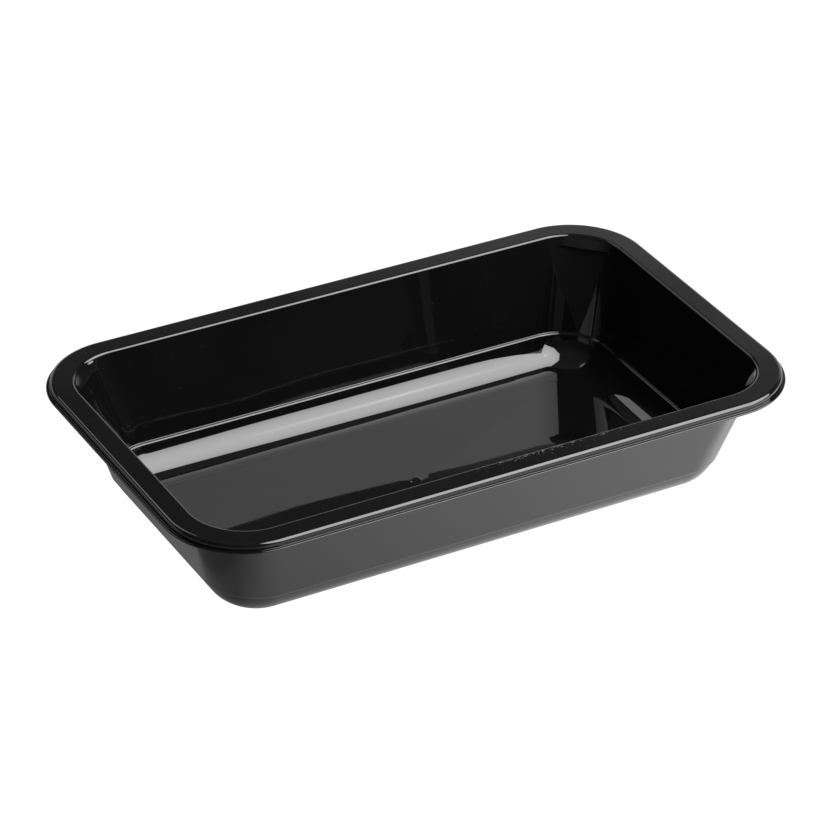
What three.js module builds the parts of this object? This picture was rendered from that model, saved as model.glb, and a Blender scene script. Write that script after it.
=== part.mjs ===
// Empty one-piece plastic food tray: a rounded rectangular dish with a flat rim, moulded from one thin
// skin of even thickness.
// Millimetres, +Z up. X runs along the long side. The origin is the middle of the plane it rests on.
//
// The skin is described once, as a profile seen in section. A station of the profile has two values:
//   reach  how far it lies outside the edge of the flat rim (negative towards the middle of the tray)
//   z      its height
// Sweeping every station round a rounded rectangle gives the tray.

import * as THREE from "three";

// ---------------------------------------------------------------- driving dimensions

const LENGTH = 265;             // overall, over the edge lip
const WIDTH = 162;
const HEIGHT = 51;
const SKIN = 0.8;               // thickness of the plastic

const RIM_FLAT = 7.1;           // width of the flat top of the rim
const RIM_EDGE_RADIUS = 1.5;    // rounding from the flat top to the skirt
const MOUTH_EDGE_RADIUS = 1.0;  // rounding from the flat top to the wall
const LIP_REACH = 2.8;          // the lip's edge, outside the flat top
const LIP_DROP = 2.75;          // the lip's upper face, below the flat top
const LIP_ROOT_RADIUS = 0.15;

const STEP_DROP = 38.6;         // the narrow step in the wall, below the flat top
const STEP_WIDTH = 1.05;
const STEP_ROOT_RADIUS = 0.35;
const STEP_EDGE_RADIUS = 0.9;
const WALL_LEAN = 15.4;         // degrees from upright, above the step
const FOOT_LEAN = 16.5;         // degrees from upright, below the step
const FOOT_RADIUS = 14.5;       // the large rounding into the floor
const STAND_WIDTH = 3;          // flat band round the base that the tray stands on
const FLOOR_RISE = 1;           // how much higher the middle of the floor is than that band

const RIM_CORNER = 29.9;        // plan radius of the corner at the edge of the flat top
const MOUTH_CORNER = 23;        // the same at the mouth
const STEP_CORNER = 21;         // the same at the step

const LUG_HALF_ANGLE = 28;      // each corner lug is a flat pad across this much of the corner, each way
const LUG_TOP = 0.9;            // where the pad starts, below the flat top
const LUG_SHELF = 3.0;          // height of its sloping upper face
const LUG_BOTTOM = 4.1;         // where the pad starts to run back into the wall
const LUG_RETURN = 0.9;         // height over which it does so
const LUG_TOP_SHIFT = 0.5;      // how much lower its upper face lies on the underside, as a share of the skin
const LUG_RETURN_SHIFT = 0.75;  // how much higher its lower face lies there

const DIMPLE_RADIUS = 3;        // small raised mark in the middle of the floor
const DIMPLE_CROWN_RADIUS = 1.6;
const DIMPLE_HEIGHT = 0.4;

const CORNER_STEPS = 10;        // facets round each corner
const CHORD_ERROR = 0.05;       // how far a facet of a rounded bend may cut inside its arc
const FLOOR_RINGS = 5;          // rings of facets from the middle of the floor out to the flat band

// ---------------------------------------------------------------- derived values

const RIM_HALF_LENGTH = LENGTH / 2 - LIP_REACH;
const RIM_HALF_WIDTH = WIDTH / 2 - LIP_REACH;

const radians = THREE.MathUtils.degToRad;
const wallRun = (height, lean) => height * Math.tan(radians(lean));

const MOUTH_REACH = -RIM_FLAT - MOUTH_EDGE_RADIUS * Math.tan(radians((90 - WALL_LEAN) / 2));
const STEP_REACH = MOUTH_REACH - wallRun(STEP_DROP, WALL_LEAN);
const FOOT_TOP_REACH = STEP_REACH - STEP_WIDTH;
const FOOT_BOTTOM_REACH = FOOT_TOP_REACH - wallRun(HEIGHT - STEP_DROP - SKIN, FOOT_LEAN);
const STAND_REACH = FOOT_BOTTOM_REACH - wallRun(FOOT_RADIUS, (90 - FOOT_LEAN) / 2);

// ---------------------------------------------------------------- profile

// The upper side of the skin as straight runs with a rounded bend at each joint, from the floor outwards.
const bends = [
  { reach: FOOT_BOTTOM_REACH, z: SKIN, radius: FOOT_RADIUS },
  { reach: FOOT_TOP_REACH, z: HEIGHT - STEP_DROP, radius: STEP_EDGE_RADIUS },
  { reach: STEP_REACH, z: HEIGHT - STEP_DROP, radius: STEP_ROOT_RADIUS },
  { reach: MOUTH_REACH, z: HEIGHT, radius: MOUTH_EDGE_RADIUS },
  { reach: RIM_EDGE_RADIUS, z: HEIGHT, radius: RIM_EDGE_RADIUS },
  { reach: RIM_EDGE_RADIUS, z: HEIGHT - LIP_DROP, radius: LIP_ROOT_RADIUS },
];
const floorStart = new THREE.Vector2(FOOT_BOTTOM_REACH - 2 * FOOT_RADIUS, SKIN);
const lipEnd = new THREE.Vector2(LIP_REACH, HEIGHT - LIP_DROP);

// One side of the skin: the bends moved by depth to the right of the outward run, which is the side
// the plastic is on, then rounded. A bend that turns right loses depth from its radius, and the other
// gains it, so both sides stay parallel.
function skinSide(depth) {
  const knots = [floorStart, ...bends.map((bend) => new THREE.Vector2(bend.reach, bend.z)), lipEnd];
  const stations = [];
  for (let i = 1; i < knots.length - 1; i += 1) {
    const before = knots[i].clone().sub(knots[i - 1]).normalize();
    const after = knots[i + 1].clone().sub(knots[i]).normalize();
    const turn = Math.atan2(before.cross(after), before.dot(after));
    const rightOf = (run) => new THREE.Vector2(run.y, -run.x);
    const shift = rightOf(before).add(rightOf(after)).divideScalar(1 + before.dot(after));
    const joint = knots[i].clone().addScaledVector(shift, depth);
    const radius = bends[i - 1].radius + Math.sign(turn) * depth;
    const start = joint.clone().addScaledVector(before, -radius * Math.tan(Math.abs(turn) / 2));
    const centre = start.clone().addScaledVector(rightOf(before), -Math.sign(turn) * radius);
    const facets = Math.ceil(Math.abs(turn) / (2 * Math.acos(1 - CHORD_ERROR / radius)));
    for (let k = 0; k <= facets; k += 1) {
      stations.push(start.clone().rotateAround(centre, (turn * k) / facets));
    }
  }
  return stations;
}

// Where the corner pad's upper face and its lower face start, below the flat top. The underside of the
// skin keeps its distance from both faces, so the pad is shorter there.
const shelfStart = (depth) => LUG_TOP + depth * LUG_TOP_SHIFT;
const returnStart = (depth) => LUG_BOTTOM - depth * LUG_RETURN_SHIFT;

// How far the corner pad is pushed in at this station of the wall, from 0 to 1.
function lugShare(station, depth) {
  if (station.reach > -RIM_FLAT) return 0;
  const drop = HEIGHT - station.z;
  const shelf = (drop - shelfStart(depth)) / LUG_SHELF;
  const back = (returnStart(depth) + LUG_RETURN - drop) / LUG_RETURN;
  return THREE.MathUtils.clamp(Math.min(shelf, back), 0, 1);
}

// The wall needs stations where the corner pad changes, which its two ends alone would not give.
function withLugStations(stations, depth) {
  const heights = [
    shelfStart(depth),
    shelfStart(depth) + LUG_SHELF,
    returnStart(depth),
    returnStart(depth) + LUG_RETURN,
  ].map((drop) => HEIGHT - drop).sort((low, high) => low - high);
  const split = [];
  for (let i = 0; i < stations.length; i += 1) {
    split.push(stations[i]);
    const next = stations[i + 1];
    if (!next || next.z - stations[i].z < STEP_DROP / 2) continue;
    for (const height of heights) {
      const share = (height - stations[i].z) / (next.z - stations[i].z);
      if (share > 0 && share < 1) split.push(stationBetween(stations[i], next, share));
    }
  }
  return split;
}

function stationBetween(from, to, share) {
  return {
    reach: THREE.MathUtils.lerp(from.reach, to.reach, share),
    z: THREE.MathUtils.lerp(from.z, to.z, share),
  };
}

// ---------------------------------------------------------------- plan outline

// Plan radius of the corner: it tightens down the wall more slowly than the wall runs in.
function cornerRadius(reach) {
  if (reach > 0) return RIM_CORNER + reach;
  if (reach > MOUTH_REACH) return THREE.MathUtils.mapLinear(reach, 0, MOUTH_REACH, RIM_CORNER, MOUTH_CORNER);
  if (reach > STEP_REACH) {
    return THREE.MathUtils.mapLinear(reach, MOUTH_REACH, STEP_REACH, MOUTH_CORNER, STEP_CORNER);
  }
  return STEP_CORNER + (reach - STEP_REACH);
}

// A rounded rectangle, counter-clockwise. pad from 0 to 1 flattens the middle of each corner.
function outline(halfLength, halfWidth, radius, z, pad = 0) {
  const points = [];
  const chord = radius * Math.cos(radians(LUG_HALF_ANGLE));
  for (let corner = 0; corner < 4; corner += 1) {
    const signX = corner === 0 || corner === 3 ? 1 : -1;
    const signY = corner < 2 ? 1 : -1;
    for (let k = 0; k <= CORNER_STEPS; k += 1) {
      const angle = radians(90 * (corner + k / CORNER_STEPS));
      const offMiddle = angle - radians(90 * corner + 45);
      const padRadius = Math.min(radius, chord / Math.cos(offMiddle));
      const here = THREE.MathUtils.lerp(radius, padRadius, pad);
      points.push(new THREE.Vector3(
        signX * (halfLength - radius) + here * Math.cos(angle),
        signY * (halfWidth - radius) + here * Math.sin(angle),
        z,
      ));
    }
  }
  return points;
}

const ringAt = (station, depth) => outline(
  RIM_HALF_LENGTH + station.reach,
  RIM_HALF_WIDTH + station.reach,
  cornerRadius(station.reach - depth) + depth,
  station.z,
  lugShare(station, depth),
);

const discAt = (radius, z) => outline(radius, radius, radius, z);

// One side of the floor, from the crown of the raised mark out to the inner edge of the flat band, falling
// softly on the way.
function floorRings(side) {
  const edge = ringAt({ reach: STAND_REACH - STAND_WIDTH, z: side }, 0);
  const rings = [discAt(DIMPLE_CROWN_RADIUS, side + FLOOR_RISE + DIMPLE_HEIGHT)];
  for (let k = 0; k < FLOOR_RINGS; k += 1) {
    const share = k / FLOOR_RINGS;
    const rise = FLOOR_RISE * (1 - THREE.MathUtils.smoothstep(share, 0, 1));
    const inner = discAt(DIMPLE_RADIUS, side);
    rings.push(inner.map((point, i) => point.lerp(edge[i], share).setZ(side + rise)));
  }
  return [...rings, edge];
}

// ---------------------------------------------------------------- solid

function sweptRings() {
  const asStations = (points) => points.map((point) => ({ reach: point.x, z: point.y }));
  const upper = withLugStations(asStations(skinSide(0)), 0);
  const lower = withLugStations(asStations(skinSide(SKIN)), SKIN);
  const edgeCut = SKIN / 4;
  const lipEdge = [
    { reach: LIP_REACH - edgeCut, z: HEIGHT - LIP_DROP },
    { reach: LIP_REACH, z: HEIGHT - LIP_DROP - edgeCut },
    { reach: LIP_REACH, z: HEIGHT - LIP_DROP - SKIN + edgeCut },
    { reach: LIP_REACH - edgeCut, z: HEIGHT - LIP_DROP - SKIN },
  ];
  return [
    ...floorRings(SKIN),
    ...upper.map((station) => ringAt(station, 0)),
    ...lipEdge.map((station) => ringAt(station, 0)),
    ...lower.reverse().map((station) => ringAt(station, SKIN)),
    ...floorRings(0).reverse(),
  ];
}

// Joins neighbouring rings with triangles and closes both ends with a fan.
function closedSweep(rings) {
  const count = rings[0].length;
  const first = new THREE.Vector3(0, 0, rings[0][0].z);
  const last = new THREE.Vector3(0, 0, rings.at(-1)[0].z);
  const vertices = [...rings.flat(), first, last];
  const firstIndex = vertices.length - 2;
  const lastIndex = vertices.length - 1;
  const index = [];
  for (let j = 0; j < count; j += 1) {
    const next = (j + 1) % count;
    index.push(firstIndex, j, next);
    for (let i = 0; i < rings.length - 1; i += 1) {
      const near = i * count;
      const far = near + count;
      index.push(near + j, far + j, far + next);
      index.push(near + j, far + next, near + next);
    }
    const end = (rings.length - 1) * count;
    index.push(end + j, lastIndex, end + next);
  }
  const geometry = new THREE.BufferGeometry();
  geometry.setFromPoints(vertices);
  geometry.setIndex(index);
  geometry.computeVertexNormals();
  return geometry;
}

const blackGloss = new THREE.MeshStandardMaterial({ color: 0x0b0b0c, roughness: 0.12, metalness: 0 });

const tray = new THREE.Mesh(closedSweep(sweptRings()), blackGloss);
tray.name = "tray";

const model = new THREE.Group();
model.add(tray);

export default model;
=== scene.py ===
from math import atan2, ceil, cos, pi, radians, sin, tan

import bpy
from mathutils import Euler, Matrix, Vector


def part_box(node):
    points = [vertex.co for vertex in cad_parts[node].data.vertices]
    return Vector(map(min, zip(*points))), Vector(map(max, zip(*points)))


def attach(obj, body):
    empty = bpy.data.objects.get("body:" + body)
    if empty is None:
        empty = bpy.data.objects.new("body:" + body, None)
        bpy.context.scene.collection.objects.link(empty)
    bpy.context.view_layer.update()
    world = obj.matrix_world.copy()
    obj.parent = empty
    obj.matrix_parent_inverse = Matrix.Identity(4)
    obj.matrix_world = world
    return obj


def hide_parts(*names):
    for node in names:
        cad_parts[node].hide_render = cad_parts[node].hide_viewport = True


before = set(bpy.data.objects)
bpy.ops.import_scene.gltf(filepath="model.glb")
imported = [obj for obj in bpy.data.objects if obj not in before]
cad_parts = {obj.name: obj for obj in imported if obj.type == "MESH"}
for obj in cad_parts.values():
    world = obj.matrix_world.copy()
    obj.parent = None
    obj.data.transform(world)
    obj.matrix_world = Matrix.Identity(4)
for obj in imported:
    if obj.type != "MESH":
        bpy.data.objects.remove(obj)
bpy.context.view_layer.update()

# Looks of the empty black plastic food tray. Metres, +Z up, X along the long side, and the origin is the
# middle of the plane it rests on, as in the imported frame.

MM = 0.001

# ---------------------------------------------------------------- sizes of the tray

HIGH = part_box("tray")[1]
HEIGHT = HIGH.z
SKIN = 0.8 * MM

RIM_FLAT = 7.1 * MM             # width of the flat top of the rim
RIM_EDGE_RADIUS = 1.5 * MM      # rounding from the flat top to the skirt
MOUTH_EDGE_RADIUS = 1.0 * MM    # rounding from the flat top to the wall
LIP_REACH = 2.8 * MM            # the lip's edge, outside the flat top
LIP_DROP = 2.75 * MM            # the lip's upper face, below the flat top
LIP_ROOT_RADIUS = 0.15 * MM
LIP_EDGE_RADIUS = 0.3 * MM

STEP_DROP = 38.6 * MM           # the narrow step in the wall, below the flat top
STEP_WIDTH = 1.05 * MM
STEP_ROOT_RADIUS = 0.35 * MM
STEP_EDGE_RADIUS = 0.9 * MM
WALL_LEAN = radians(15.4)
FOOT_LEAN = radians(16.5)
FOOT_RADIUS = 14.5 * MM
STAND_WIDTH = 3 * MM            # flat band round the base that the tray stands on
FLOOR_RISE = 1 * MM             # how much higher the middle of the floor is than that band

RIM_CORNER = 29.9 * MM          # plan radius of the corner at the edge of the flat top
MOUTH_CORNER = 23 * MM
STEP_CORNER = 21 * MM

LUG_HALF_ANGLE = radians(28)    # each corner lug is a flat pad across this much of the corner, each way
LUG_TOP = 0.9 * MM
LUG_SHELF = 3.0 * MM            # height of its sloping upper face
LUG_BOTTOM = 4.1 * MM           # where the pad starts to run back into the wall
LUG_RETURN = 0.9 * MM
LUG_SOFTNESS = 0.12             # rounding of its bends, as a share of each sloping face
LUG_TOP_SHIFT = 0.5             # how much lower its upper face lies on the underside, as a share of the skin
LUG_RETURN_SHIFT = 0.75         # how much higher its lower face lies there

DIMPLE_RADIUS = 3 * MM          # small raised mark in the middle of the floor
DIMPLE_CROWN_RADIUS = 1.6 * MM
DIMPLE_HEIGHT = 0.4 * MM

CORNER_STEPS = 48               # points round each corner
LONG_STEPS = 24                 # points along each long side
SHORT_STEPS = 14
FLOOR_RINGS = 24                # rings from the raised mark out to the stand band
ARC_STEP = radians(4)           # turn of one facet in a rounded bend
EDGE_GUARD = 0.3 * MM           # how close to a bend the next station sits, so that flat faces stay flat
RUN_STEP = 3.5 * MM             # spacing of the stations on a long straight run
SHORT_RUN_GUARD = 0.25          # on a short run the guard is at most this share of it
SIDE_GUARD = 1.5 * MM           # the same guard on the straight sides of the plan outline
SHORT_SIDE_GUARD = 0.2
LUG_STEPS = 12                  # stations down each sloping face of a corner lug
LUG_MARGIN = 3                  # stations beyond each end of such a face
STATION_DIGITS = 5              # stations of the lug that are equal to this many digits are one
STATION_GAP = 0.02 * MM         # least distance from the lug's stations to the wall's own
DIMPLE_RINGS = 12
BAND_RINGS = 4                  # rings across the stand band
LIP_EDGE_STEPS = 5              # facets in each rounded edge of the lip

RIM_HALF_LENGTH = HIGH.x - LIP_REACH
RIM_HALF_WIDTH = HIGH.y - LIP_REACH
MOUTH_REACH = -RIM_FLAT - MOUTH_EDGE_RADIUS * tan((pi / 2 - WALL_LEAN) / 2)
STEP_REACH = MOUTH_REACH - STEP_DROP * tan(WALL_LEAN)
FOOT_TOP_REACH = STEP_REACH - STEP_WIDTH
FOOT_BOTTOM_REACH = FOOT_TOP_REACH - (HEIGHT - STEP_DROP - SKIN) * tan(FOOT_LEAN)
STAND_REACH = FOOT_BOTTOM_REACH - FOOT_RADIUS * tan((pi / 2 - FOOT_LEAN) / 2)


# ---------------------------------------------------------------- profile of the skin


def mix(a, b, share):
    return a + (b - a) * share


def clamp01(value):
    return min(max(value, 0.0), 1.0)


def smooth_step(value):
    value = clamp01(value)
    return value * value * (3 - 2 * value)


def knee(value, soft):
    """Zero below the knee and the value itself above it, rounded over twice the soft width."""
    if abs(value) < soft:
        return (value + soft) ** 2 / (4 * soft)
    return max(value, 0.0)


def soft_ramp(value, soft):
    """From 0 to 1, straight with rounded ends."""
    return knee(value, soft) - knee(value - 1, soft)


# The upper side as straight runs with a rounded bend at each joint, from the floor outwards:
# reach outside the edge of the flat rim, height, radius of the bend.
BENDS = [
    (FOOT_BOTTOM_REACH, SKIN, FOOT_RADIUS),
    (FOOT_TOP_REACH, HEIGHT - STEP_DROP, STEP_EDGE_RADIUS),
    (STEP_REACH, HEIGHT - STEP_DROP, STEP_ROOT_RADIUS),
    (MOUTH_REACH, HEIGHT, MOUTH_EDGE_RADIUS),
    (RIM_EDGE_RADIUS, HEIGHT, RIM_EDGE_RADIUS),
    (RIM_EDGE_RADIUS, HEIGHT - LIP_DROP, LIP_ROOT_RADIUS),
]
FLOOR_START = Vector((FOOT_BOTTOM_REACH - 2 * FOOT_RADIUS, SKIN))
LIP_END = Vector((LIP_REACH - LIP_EDGE_RADIUS, HEIGHT - LIP_DROP))


def right_of(run):
    return Vector((run.y, -run.x))


def skin_side(depth):
    """Stations of one side of the skin, depth to the right of the outward run."""
    knots = [FLOOR_START] + [Vector((reach, z)) for reach, z, radius in BENDS] + [LIP_END]
    arcs = []
    for before_knot, knot, after_knot, (_, _, bend_radius) in zip(knots, knots[1:], knots[2:], BENDS):
        before = (knot - before_knot).normalized()
        after = (after_knot - knot).normalized()
        turn = atan2(before.x * after.y - before.y * after.x, before.dot(after))
        side = 1 if turn > 0 else -1
        joint = knot + (right_of(before) + right_of(after)) * (depth / (1 + before.dot(after)))
        radius = bend_radius + side * depth
        start = joint - before * radius * tan(abs(turn) / 2)
        centre = start - right_of(before) * side * radius
        facets = max(3, ceil(abs(turn) / ARC_STEP))
        spokes = [Matrix.Rotation(turn * k / facets, 2) @ (start - centre) for k in range(facets + 1)]
        arcs.append([centre + spoke for spoke in spokes])
    stations = arcs[0]
    for arc in arcs[1:]:
        stations += run_stations(stations[-1], arc[0]) + arc
    return stations


def run_stations(near, far):
    """Stations on a straight run: one close to each end, so that it stays flat, and even ones between."""
    length = (far - near).length
    guard = min(EDGE_GUARD / length, SHORT_RUN_GUARD)
    count = max(1, round(length / RUN_STEP))
    return [near.lerp(far, mix(guard, 1 - guard, k / count)) for k in range(count + 1)]


def lug_starts(depth):
    """Where the corner pad's upper face and its lower face start, below the flat top of the rim."""
    return LUG_TOP + depth * LUG_TOP_SHIFT, LUG_BOTTOM - depth * LUG_RETURN_SHIFT


def lug_share(station, depth):
    """How far the corner pad is pushed in at this station of the wall, from 0 to 1."""
    if station.x > -RIM_FLAT:
        return 0.0
    drop = HEIGHT - station.y
    shelf_start, return_start = lug_starts(depth)
    shelf = (drop - shelf_start) / LUG_SHELF
    back = (return_start + LUG_RETURN - drop) / LUG_RETURN
    return min(soft_ramp(shelf, LUG_SOFTNESS), soft_ramp(back, LUG_SOFTNESS))


def with_lug_stations(stations, depth):
    """The wall needs close stations where the corner pad changes."""
    near_top = HEIGHT - MOUTH_EDGE_RADIUS
    marks = []
    for start, height in zip(lug_starts(depth), (LUG_SHELF, LUG_RETURN)):
        steps = range(-LUG_MARGIN, LUG_STEPS + LUG_MARGIN + 1)
        marks += [HEIGHT - start - height * k / LUG_STEPS for k in steps]
    marks = sorted({round(z, STATION_DIGITS) for z in marks if z < near_top})
    full = [stations[0]]
    for near, far in zip(stations, stations[1:]):
        if near.x < -RIM_FLAT and far.y > near.y and near.y > HEIGHT - STEP_DROP:
            inside = [z for z in marks if near.y + STATION_GAP < z < far.y - STATION_GAP]
            full += [near.lerp(far, (z - near.y) / (far.y - near.y)) for z in inside]
        full.append(far)
    return full


# ---------------------------------------------------------------- plan outline


def corner_radius(reach):
    """Plan radius of the corner: it tightens down the wall more slowly than the wall runs in."""
    if reach > 0:
        return RIM_CORNER + reach
    if reach > MOUTH_REACH:
        return mix(RIM_CORNER, MOUTH_CORNER, reach / MOUTH_REACH)
    if reach > STEP_REACH:
        return mix(MOUTH_CORNER, STEP_CORNER, (reach - MOUTH_REACH) / (STEP_REACH - MOUTH_REACH))
    return STEP_CORNER + reach - STEP_REACH


def side_shares(steps, length):
    """Shares of the way along a straight side, with a guard station near each end."""
    guard = min(SIDE_GUARD / length, SHORT_SIDE_GUARD)
    return [mix(guard, 1 - guard, k / steps) for k in range(steps + 1)]


def outline(half_length, half_width, radius, z, pad):
    """A rounded rectangle, counter-clockwise. pad from 0 to 1 flattens the middle of each corner."""
    points = []
    chord = radius * cos(LUG_HALF_ANGLE)
    for corner in range(4):
        sign_x = 1 if corner in (0, 3) else -1
        sign_y = 1 if corner < 2 else -1
        middle = Vector((sign_x * (half_length - radius), sign_y * (half_width - radius), z))
        for k in range(CORNER_STEPS + 1):
            angle = pi / 2 * (corner + k / CORNER_STEPS)
            off_middle = angle - pi / 2 * (corner + 0.5)
            here = mix(radius, min(radius, chord / cos(off_middle)), pad)
            points.append(middle + Vector((here * cos(angle), here * sin(angle), 0)))
        along_x = corner % 2 == 0
        length = 2 * ((half_length if along_x else half_width) - radius)
        run = Vector((-sign_x * length, 0, 0)) if along_x else Vector((0, -sign_y * length, 0))
        start = points[-1].copy()
        for share in side_shares(LONG_STEPS if along_x else SHORT_STEPS, length):
            points.append(start + run * share)
    return points


def ring_at(station, depth):
    return outline(
        RIM_HALF_LENGTH + station.x,
        RIM_HALF_WIDTH + station.x,
        corner_radius(station.x - depth) + depth,
        station.y,
        lug_share(station, depth),
    )


def blended(ring_a, ring_b, share):
    return [a.lerp(b, share) for a, b in zip(ring_a, ring_b)]


def disc_ring(radius, z):
    """A circle, with a point in the same direction as each point of the outline round the stand band."""
    round_it = ring_at(Vector((STAND_REACH - STAND_WIDTH, z)), 0)
    return [Vector((point.x, point.y, 0)).normalized() * radius + Vector((0, 0, z)) for point in round_it]


# ---------------------------------------------------------------- mesh


def floor_rings(side):
    """One side of the floor: the low smooth crown of the raised mark, then softly down to the stand band."""
    rings = []
    for k in range(1, DIMPLE_RINGS + 1):
        radius = DIMPLE_RADIUS * k / DIMPLE_RINGS
        rise = 1 - smooth_step((radius - DIMPLE_CROWN_RADIUS) / (DIMPLE_RADIUS - DIMPLE_CROWN_RADIUS))
        rings.append(disc_ring(radius, side + FLOOR_RISE + DIMPLE_HEIGHT * rise))
    inner = disc_ring(DIMPLE_RADIUS, side)
    edge = ring_at(Vector((STAND_REACH - STAND_WIDTH, side)), 0)
    for k in range(1, FLOOR_RINGS + 1):
        lift = Vector((0, 0, FLOOR_RISE * (1 - smooth_step(k / FLOOR_RINGS))))
        rings.append([point + lift for point in blended(inner, edge, k / FLOOR_RINGS)])
    band = ring_at(Vector((STAND_REACH - EDGE_GUARD, side)), 0)
    return rings + [blended(edge, band, k / BAND_RINGS) for k in range(1, BAND_RINGS + 1)]


def lip_edge_rings():
    """Round the lip's edge, from its upper face to its lower one."""
    rings = []
    centre_reach = LIP_REACH - LIP_EDGE_RADIUS
    top_z = HEIGHT - LIP_DROP
    for k in range(1, LIP_EDGE_STEPS + 1):
        angle = pi / 2 * (1 - k / LIP_EDGE_STEPS)
        x = centre_reach + LIP_EDGE_RADIUS * cos(angle)
        rings.append(ring_at(Vector((x, top_z - LIP_EDGE_RADIUS * (1 - sin(angle)))), 0))
    for k in range(LIP_EDGE_STEPS + 1):
        angle = pi / 2 * k / LIP_EDGE_STEPS
        x = centre_reach + LIP_EDGE_RADIUS * cos(angle)
        rings.append(ring_at(Vector((x, top_z - SKIN + LIP_EDGE_RADIUS * (1 - sin(angle)))), 0))
    return rings


def tray_mesh():
    """The closed skin: up the inside, round the lip, down the outside, and a fan at each end."""
    upper = [ring_at(station, 0) for station in with_lug_stations(skin_side(0), 0) + [LIP_END]]
    lower = [ring_at(station, SKIN) for station in with_lug_stations(skin_side(SKIN), SKIN)]
    rings = floor_rings(SKIN) + upper + lip_edge_rings()
    rings += lower[::-1] + floor_rings(0)[::-1]
    count = len(rings[0])
    vertices = [point for ring in rings for point in ring]
    faces = []
    for i in range(len(rings) - 1):
        for j in range(count):
            k = (j + 1) % count
            faces.append((i * count + j, (i + 1) * count + j, (i + 1) * count + k, i * count + k))
    last = (len(rings) - 1) * count
    vertices += [Vector((0, 0, rings[0][0].z)), Vector((0, 0, rings[-1][0].z))]
    for j in range(count):
        k = (j + 1) % count
        faces.append((len(vertices) - 2, j, k))
        faces.append((last + j, len(vertices) - 1, last + k))
    mesh = bpy.data.meshes.new("tray_skin")
    mesh.from_pydata(vertices, [], faces)
    mesh.validate()
    mesh.shade_smooth()
    return mesh


# ---------------------------------------------------------------- material

MIX_A, MIX_B, MIX_RESULT = 6, 7, 2              # the colour sockets of a Mix node

PLASTIC_IOR = 1.5
DARK_PLASTIC = (0.0016, 0.0016, 0.0017, 1)
PALE_PLASTIC = (0.0028, 0.0028, 0.0028, 1)
DUST = (0.14, 0.14, 0.137, 1)

GLOSS_ROUGHNESS = 0.015         # where the haze is thinnest
WORN_ROUGHNESS = 0.05
DUST_ROUGHNESS = 0.5
HAZE_RANGE = (0.35, 0.75)       # of the haze noise, from glossy to worn

PATCH_SCALE = 30.0              # noise scales: patches of tone and of dust, about 30 to a metre
GRAIN_SCALE = 2600.0            # single specks of dust
HAZE_SCALE = 38.0
WAVE_SCALE = 16.0
MOTTLE_SCALE = 260.0
NOISE_ROUGHNESS = 0.6
WAVE_DEPTH = 0.6 * MM
MOTTLE_DEPTH = 0.004 * MM

MOUTH_LINE = RIM_FLAT - RIM_HALF_WIDTH          # Y of the flat rim's inner edge, on the long front side
DUSTY_PLACE = (18 * MM, MOUTH_LINE - 1.4 * MM, HEIGHT)
DUSTY_REACH = 50 * MM
DUSTY_CORE = 20 * MM
DUSTY_EDGE = MOUTH_LINE - 0.7 * MM
DUSTY_FADE = 3 * MM             # from the edge outwards
DUSTY_TOP = HEIGHT - 1 * MM     # the dust lies on the top of the rim only
DUSTY_LOW = HEIGHT - 2 * MM
DUST_LIFT = 0.36                # how much more likely a speck is in the dusty place
SPECK_RANGE = (0.89, 0.93)      # of the lifted grain noise, from bare plastic to a full speck


def node(tree, kind, **values):
    """A new node, with each value given to its input of that name or else to its own setting."""
    made = tree.nodes.new(kind)
    for name, value in values.items():
        if name in made.inputs:
            made.inputs[name].default_value = value
        else:
            setattr(made, name, value)
    return made


def mapped(tree, source, low, high, new_low, new_high):
    """The value of a socket mapped from one range to another."""
    change = node(tree, "ShaderNodeMapRange")
    for name, value in (("From Min", low), ("From Max", high), ("To Min", new_low), ("To Max", new_high)):
        change.inputs[name].default_value = value
    tree.links.new(source, change.inputs["Value"])
    return change.outputs["Result"]


def noise(tree, place, scale, detail):
    made = node(tree, "ShaderNodeTexNoise", Scale=scale, Detail=detail, Roughness=NOISE_ROUGHNESS)
    tree.links.new(place.outputs["Object"], made.inputs["Vector"])
    return made.outputs["Fac"]


def times(tree, first, second):
    product = node(tree, "ShaderNodeMath", operation="MULTIPLY")
    tree.links.new(first, product.inputs[0])
    tree.links.new(second, product.inputs[1])
    return product.outputs["Value"]


def mixed(tree, factor, first, second, blend_type="MIX"):
    """The colour between two others, each a colour or a socket."""
    mixer = node(tree, "ShaderNodeMix", data_type="RGBA", blend_type=blend_type)
    tree.links.new(factor, mixer.inputs["Factor"])
    for socket, colour in ((mixer.inputs[MIX_A], first), (mixer.inputs[MIX_B], second)):
        if isinstance(colour, tuple):
            socket.default_value = colour
        else:
            tree.links.new(colour, socket)
    return mixer.outputs[MIX_RESULT]


def dust_specks(tree, place, patchy):
    """Specks under half a millimetre, most of them by the mouth on the long front side of the rim."""
    away = node(tree, "ShaderNodeVectorMath", operation="DISTANCE")
    tree.links.new(place.outputs["Object"], away.inputs[0])
    away.inputs[1].default_value = DUSTY_PLACE
    near = mapped(tree, away.outputs["Value"], DUSTY_REACH, DUSTY_CORE, 0.0, DUST_LIFT)
    split = node(tree, "ShaderNodeSeparateXYZ")
    tree.links.new(place.outputs["Object"], split.inputs["Vector"])
    inside = mapped(tree, split.outputs["Y"], DUSTY_EDGE - DUSTY_FADE, DUSTY_EDGE, 0.0, 1.0)
    on_top = mapped(tree, split.outputs["Z"], DUSTY_LOW, DUSTY_TOP, 0.0, 1.0)
    near = times(tree, times(tree, near, inside), on_top)
    lifted = node(tree, "ShaderNodeMath", operation="ADD")
    tree.links.new(noise(tree, place, GRAIN_SCALE, detail=0.0), lifted.inputs[0])
    tree.links.new(times(tree, near, patchy), lifted.inputs[1])
    return mapped(tree, lifted.outputs["Value"], *SPECK_RANGE, 0.0, 1.0)


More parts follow.
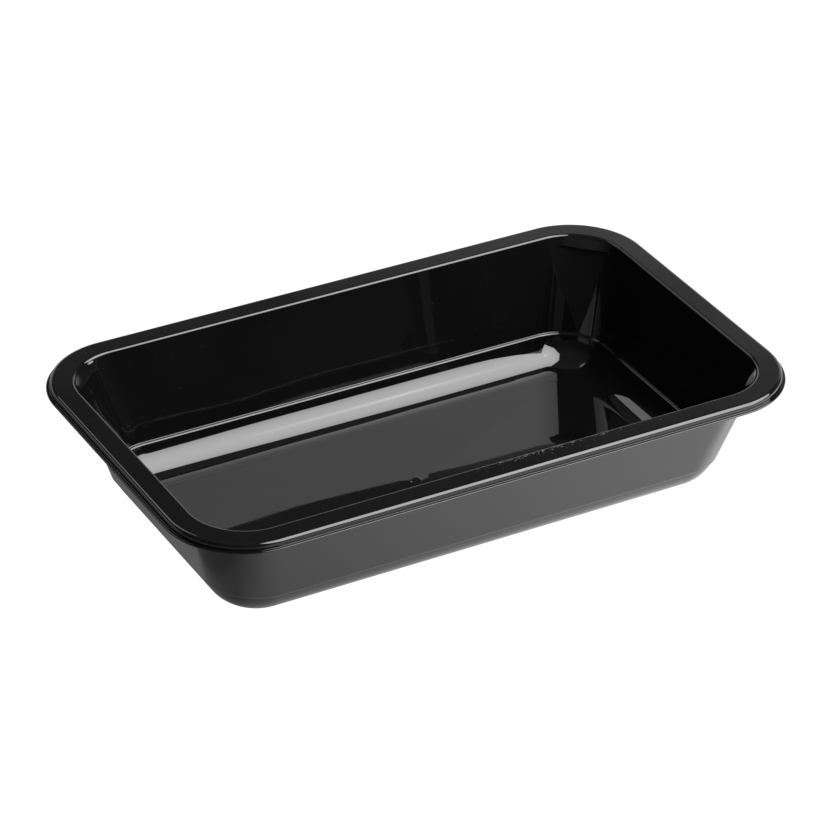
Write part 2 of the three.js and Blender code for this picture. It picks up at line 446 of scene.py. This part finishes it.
def gloss(tree, place, speck):
    """Roughness: a soft haze, duller where the surface is worn and under the specks."""
    haze_noise = noise(tree, place, HAZE_SCALE, detail=3.0)
    haze = mapped(tree, haze_noise, *HAZE_RANGE, GLOSS_ROUGHNESS, WORN_ROUGHNESS)
    dull = node(tree, "ShaderNodeMath", operation="MAXIMUM")
    tree.links.new(haze, dull.inputs[0])
    tree.links.new(mapped(tree, speck, 0.0, 1.0, 0.0, DUST_ROUGHNESS), dull.inputs[1])
    return dull.outputs["Value"]


def moulded_surface(tree, place):
    """Normal of the moulded surface: long soft waves, then a fine mottle."""
    waves = node(tree, "ShaderNodeBump", Distance=WAVE_DEPTH, Strength=1.0)
    tree.links.new(noise(tree, place, WAVE_SCALE, detail=0.0), waves.inputs["Height"])
    mottle = node(tree, "ShaderNodeBump", Distance=MOTTLE_DEPTH, Strength=1.0)
    tree.links.new(noise(tree, place, MOTTLE_SCALE, detail=1.0), mottle.inputs["Height"])
    tree.links.new(waves.outputs["Normal"], mottle.inputs["Normal"])
    return mottle.outputs["Normal"]


def black_plastic():
    """Glossy black moulded plastic: nearly black, mirror-like, softly uneven, with a little dust and wear."""
    material = bpy.data.materials.new("black_plastic")
    material.use_nodes = True
    tree = material.node_tree
    shader = tree.nodes["Principled BSDF"]
    shader.inputs["IOR"].default_value = PLASTIC_IOR
    place = node(tree, "ShaderNodeTexCoord")
    patchy = noise(tree, place, PATCH_SCALE, detail=2.0)
    speck = dust_specks(tree, place, patchy)
    tone = mixed(tree, patchy, DARK_PLASTIC, PALE_PLASTIC)
    tree.links.new(mixed(tree, speck, tone, DUST), shader.inputs["Base Color"])
    tree.links.new(gloss(tree, place, speck), shader.inputs["Roughness"])
    tree.links.new(moulded_surface(tree, place), shader.inputs["Normal"])
    return material


# ---------------------------------------------------------------- studio

PANEL_TARGET = Vector((0.0, 0.0, 0.031))        # what the panels face, inside the tray
PANEL_SIDES = 8
PANEL_MIDDLE = 0.1              # corners nearer the middle than this share of the radius don't move left
KEY_PLACE = Vector((0.447, -0.480, 0.786))
KEY_RADIUS = 0.76
KEY_LEFT = 0.8                  # how far the key panel reaches towards -X, as a share of its radius
KEY_LOW = 1.3                   # the same downwards
KEY_LIGHT = [(0, 15.0), (0.05, 12.5), (0.11, 10.6), (0.4, 9.6), (0.75, 7), (1.0, 4)]
BACK_PLACE = Vector((-0.24, 0.65, 0.771))
BACK_RADIUS = 0.25
BACK_LIGHT = [(0, 2.4), (1.0, 2.0)]

SHEET_HALF = 6.0                # half the width of the floor
WHITE_GLOW = 1.1
FLOOR_ALBEDO = 0.1
FLOOR_DROP = 0.2 * MM           # how far the pale floor lies below the white ground
FLOOR_LIGHT = [(0.2, 0.08), (0.25, 0.15), (0.31, 0.75), (0.4, 0.95), (0.7, 1.55), (0.8, 1.75), (1.0, 1.9)]
FLOOR_LIGHT_HALF = 0.25         # the floor's painted light, brighter towards +X, changes along X between minus and plus this
PAINTED_SHADE = 0.45                    # share of the glow left in the painted shadow of the tray
PAINTED_SHADE_FRONT = (-62 * MM, -48 * MM)              # Y over which the painted shadow starts
PAINTED_SHADE_LEFT = (-120 * MM, -105 * MM)             # X over which it starts

SWEEP_LIGHT = [(0.34, 1.0), (0.41, 0.44), (0.43, 0.30), (0.45, 0.14), (0.48, 0.07), (0.5, 0.04)]
SWEEP_LEAN = -0.15              # how the sweep's top edge slopes along X
SWEEP_START = 0.3               # Y of the direction in which the sweep starts to show
SWEEP_FULL = 0.5
ROOM_LIGHT = [(0.0, 0.05), (0.5, 0.06), (0.85, 0.15), (1.0, 0.15)]

LOOK_AT = Vector((0.0, -0.0026, 0.031))         # this and the values below follow the photo's outlines
AZIMUTH = radians(-29.58)
ELEVATION = radians(31.64)
ROLL = radians(0.942)
DISTANCE = 1.5143
LENS = 166.5                    # millimetres, on a sensor 36 wide
SENSOR = 36


def strongest(stops):
    return max(light for position, light in stops)


def light_ramp(tree, source, stops, full=1.0):
    """A grey colour by the value of a socket, as a share of full. The stops are position and light, in
    order."""
    ramp = node(tree, "ShaderNodeValToRGB")
    elements = ramp.color_ramp.elements
    while len(elements) < len(stops):
        elements.new(0.5)
    for element, (position, light) in zip(elements, stops):
        share = light / full
        element.position = position
        element.color = (share, share, share, 1)
    tree.links.new(source, ramp.inputs["Fac"])
    return ramp.outputs["Color"]


def soft_box(name, place, radius, stops, left=1.0, low=1.0):
    """A flat glowing panel that faces the tray, with its light by the distance from its middle. left and low
    are how far it reaches towards -X and downwards, as shares of the radius."""
    facing = (PANEL_TARGET - place).to_track_quat("Z", "Y")
    corners = []
    for k in range(PANEL_SIDES):
        angle = 2 * pi * k / PANEL_SIDES
        corner = Vector((radius * cos(angle), radius * sin(angle), 0))
        if (facing @ corner).x < -PANEL_MIDDLE * radius:
            corner *= left
        if (facing @ corner).z < 0:
            corner.y *= low
        corners.append(corner)
    mesh = bpy.data.meshes.new(name)
    mesh.from_pydata(corners, [], [tuple(range(PANEL_SIDES))])
    panel = bpy.data.objects.new(name, mesh)
    panel.location = place
    panel.rotation_mode = "QUATERNION"
    panel.rotation_quaternion = facing
    bpy.context.scene.collection.objects.link(panel)
    material = bpy.data.materials.new(name)
    material.use_nodes = True
    tree = material.node_tree
    tree.nodes.remove(tree.nodes["Principled BSDF"])
    length = node(tree, "ShaderNodeVectorMath", operation="LENGTH")
    tree.links.new(node(tree, "ShaderNodeTexCoord").outputs["Object"], length.inputs[0])
    reach = mapped(tree, length.outputs["Value"], 0.0, radius * max(1.0, low), 0.0, 1.0)
    glow = node(tree, "ShaderNodeEmission", Strength=strongest(stops))
    tree.links.new(light_ramp(tree, reach, stops, strongest(stops)), glow.inputs["Color"])
    tree.links.new(glow.outputs["Emission"], tree.nodes["Material Output"].inputs["Surface"])
    mesh.materials.append(material)


def floor_sheet(name, z, base, glow):
    """A flat sheet under the tray that glows evenly."""
    corners = [(x * SHEET_HALF, y * SHEET_HALF, z) for x, y in ((-1, -1), (1, -1), (1, 1), (-1, 1))]
    mesh = bpy.data.meshes.new(name)
    mesh.from_pydata(corners, [], [(0, 1, 2, 3)])
    sheet = bpy.data.objects.new(name, mesh)
    bpy.context.scene.collection.objects.link(sheet)
    material = bpy.data.materials.new(name)
    material.use_nodes = True
    shader = material.node_tree.nodes["Principled BSDF"]
    shader.inputs["Base Color"].default_value = (base, base, base, 1)
    shader.inputs["Roughness"].default_value = 1.0
    shader.inputs["Specular IOR Level"].default_value = 0.0
    shader.inputs["Emission Color"].default_value = (1, 1, 1, 1)
    shader.inputs["Emission Strength"].default_value = glow
    mesh.materials.append(material)
    return sheet


def studio_floor():
    """The white ground of a cut-out product photo, which only the camera sees, and just below it the pale
    floor that lights the tray."""
    white = floor_sheet("white_ground", 0, 0, WHITE_GLOW)
    white.visible_diffuse = False
    white.visible_glossy = False
    white.visible_transmission = False
    white.visible_shadow = False
    pale = floor_sheet("pale_floor", -FLOOR_DROP, FLOOR_ALBEDO, strongest(FLOOR_LIGHT))
    pale.visible_camera = False
    tree = pale.data.materials[0].node_tree
    split = node(tree, "ShaderNodeSeparateXYZ")
    tree.links.new(node(tree, "ShaderNodeTexCoord").outputs["Object"], split.inputs["Vector"])
    along = mapped(tree, split.outputs["X"], -FLOOR_LIGHT_HALF, FLOOR_LIGHT_HALF, 0.0, 1.0)
    light = light_ramp(tree, along, FLOOR_LIGHT, strongest(FLOOR_LIGHT))
    # Painted shadow of the tray: the pale floor glows less under and behind it, where its shadow falls.
    painted_shade = node(tree, "ShaderNodeMath", operation="MAXIMUM")
    tree.links.new(mapped(tree, split.outputs["Y"], *PAINTED_SHADE_FRONT, 1.0, PAINTED_SHADE), painted_shade.inputs[0])
    tree.links.new(mapped(tree, split.outputs["X"], *PAINTED_SHADE_LEFT, 1.0, PAINTED_SHADE), painted_shade.inputs[1])
    shaded = times(tree, light, painted_shade.outputs["Value"])
    tree.links.new(shaded, tree.nodes["Principled BSDF"].inputs["Emission Color"])


def studio_world():
    """A dark room with a pale sweep behind the tray, which falls off upwards."""
    world = bpy.data.worlds.new("studio")
    bpy.context.scene.world = world
    world.use_nodes = True
    tree = world.node_tree
    split = node(tree, "ShaderNodeSeparateXYZ")
    tree.links.new(node(tree, "ShaderNodeTexCoord").outputs["Generated"], split.inputs["Vector"])
    lean = node(tree, "ShaderNodeMath", operation="MULTIPLY_ADD")
    tree.links.new(split.outputs["X"], lean.inputs[0])
    lean.inputs[1].default_value = SWEEP_LEAN
    tree.links.new(split.outputs["Z"], lean.inputs[2])
    sweep = light_ramp(tree, lean.outputs["Value"], SWEEP_LIGHT)
    room = light_ramp(tree, split.outputs["Z"], ROOM_LIGHT)
    behind = mapped(tree, split.outputs["Y"], SWEEP_START, SWEEP_FULL, 0.0, 1.0)
    tree.links.new(mixed(tree, behind, room, sweep, "LIGHTEN"), tree.nodes["Background"].inputs["Color"])


def studio_camera():
    """A long lens at the photograph's viewing angle."""
    back = Vector((sin(AZIMUTH) * cos(ELEVATION), -cos(AZIMUTH) * cos(ELEVATION), sin(ELEVATION)))
    data = bpy.data.cameras.new("camera")
    data.lens = LENS
    data.sensor_width = SENSOR
    data.clip_start = 0.05
    data.clip_end = 50
    camera = bpy.data.objects.new("camera", data)
    camera.location = LOOK_AT + back * DISTANCE
    camera.rotation_mode = "QUATERNION"
    level = (-back).to_track_quat("-Z", "Y")
    camera.rotation_quaternion = level @ Euler((0, 0, ROLL)).to_quaternion()
    bpy.context.scene.collection.objects.link(camera)
    bpy.context.scene.camera = camera


studio_camera()
studio_floor()
studio_world()
soft_box("key_panel", KEY_PLACE, KEY_RADIUS, KEY_LIGHT, KEY_LEFT, KEY_LOW)
soft_box("back_panel", BACK_PLACE, BACK_RADIUS, BACK_LIGHT)

tray = bpy.data.objects.new("tray_skin", tray_mesh())
bpy.context.scene.collection.objects.link(tray)
tray.data.materials.append(black_plastic())
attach(tray, "root")
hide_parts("tray")

bpy.context.scene.view_settings.view_transform = "Standard"
